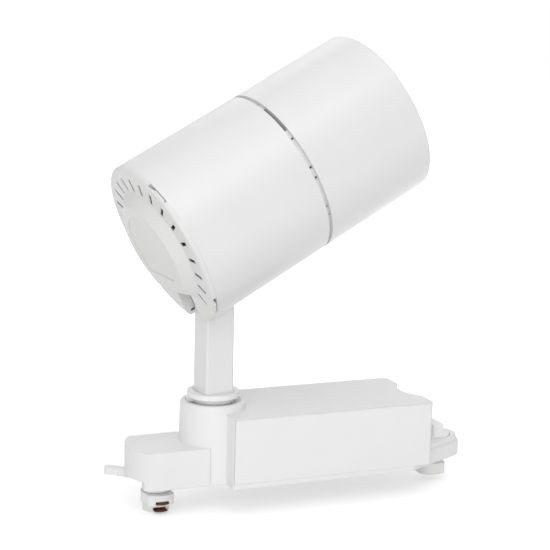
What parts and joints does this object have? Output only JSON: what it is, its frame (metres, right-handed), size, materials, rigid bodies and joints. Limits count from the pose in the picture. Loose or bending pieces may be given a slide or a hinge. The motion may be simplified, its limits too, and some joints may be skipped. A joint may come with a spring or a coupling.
{
  "type": "track spotlight",
  "caption": "White track spotlight: a cylindrical head tilts and swivels on a square arm above a long track adapter with its driver box, turning contact block and locking foot.",
  "frame": {"origin": "point of the adapter's track face on the swivel axis", "axes": "+X along the track from the contacts towards the lock, -Y the driver box's cover side, +Z away from the track along the swivel axis; shown standing as in the picture, the lamp usually hangs with +Z down"},
  "size_m": [0.1987, 0.0998, 0.2425],
  "materials": {
    "white_plastic": "fine matt white",
    "white_paint": "fine textured white paint on cast aluminium",
    "grey_plastic": "satin",
    "steel": "zinc plated",
    "bare_aluminium": "as cast",
    "copper": "rolled copper strip",
    "board": "solder mask",
    "ferrite": "dark ferrite",
    "can": "sleeved can",
    "wire": "silicone sleeve",
    "dark_rubber": "matt",
    "led": "phosphor on white board",
    "mirror_coat": "vacuum coated",
    "clear_glass": "clear"
  },
  "bodies": {
    "adapter": {"adapter_housing": "white_plastic", "side_cover": "white_plastic", "base_plate": "white_plastic", "base_screws": "steel", "driver_board": "board", "driver_transformer": "ferrite", "driver_capacitors": "can", "driver_choke": "ferrite", "thrust_washer": "grey_plastic"},
    "contact": {"contact_rotor": "grey_plastic", "contact_lever": "grey_plastic", "contact_blades": "copper", "rotor_clip": "steel"},
    "lock": {"lock_knob": "grey_plastic", "lock_foot": "grey_plastic", "lock_screw": "steel"},
    "arm": {"swivel_collar": "white_paint", "swivel_spindle": "steel", "swivel_washer": "steel", "swivel_nut": "steel", "arm_post": "white_paint", "wire_bush": "dark_rubber", "arm_wires": "wire"},
    "head": {"rear_cap": "white_plastic", "rear_housing": "white_paint", "heat_sink": "bare_aluminium", "tilt_bracket": "bare_aluminium", "bracket_screws": "steel", "tilt_bolt": "steel", "tilt_nut": "steel", "tilt_washers": "dark_rubber", "vent_ring": "white_plastic", "led_module": "led", "led_holder": "white_plastic", "reflector": "mirror_coat", "front_housing": "white_paint", "front_glass": "clear_glass", "glass_ring": "white_plastic"}
  },
  "joints": [
    {"name": "swivel", "type": "hinge", "parent": "adapter", "child": "arm", "pos_m": [0, 0, 0.0416], "axis": [0, 0, 1], "range_deg": [-168, 168]},
    {"name": "tilt", "type": "hinge", "parent": "arm", "child": "head", "pos_m": [0, 0, 0.0996], "axis": [0.0837, -0.9965, 0], "range_deg": [-28, 62]},
    {"name": "contact_turn", "type": "hinge", "parent": "adapter", "child": "contact", "pos_m": [-0.0307, 0, 0], "axis": [0, 0, 1], "range_deg": [0, 86]},
    {"name": "lock_turn", "type": "hinge", "parent": "adapter", "child": "lock", "pos_m": [0.1298, 0, 0], "axis": [0, 0, 1], "range_deg": [0, 90]}
  ]
}
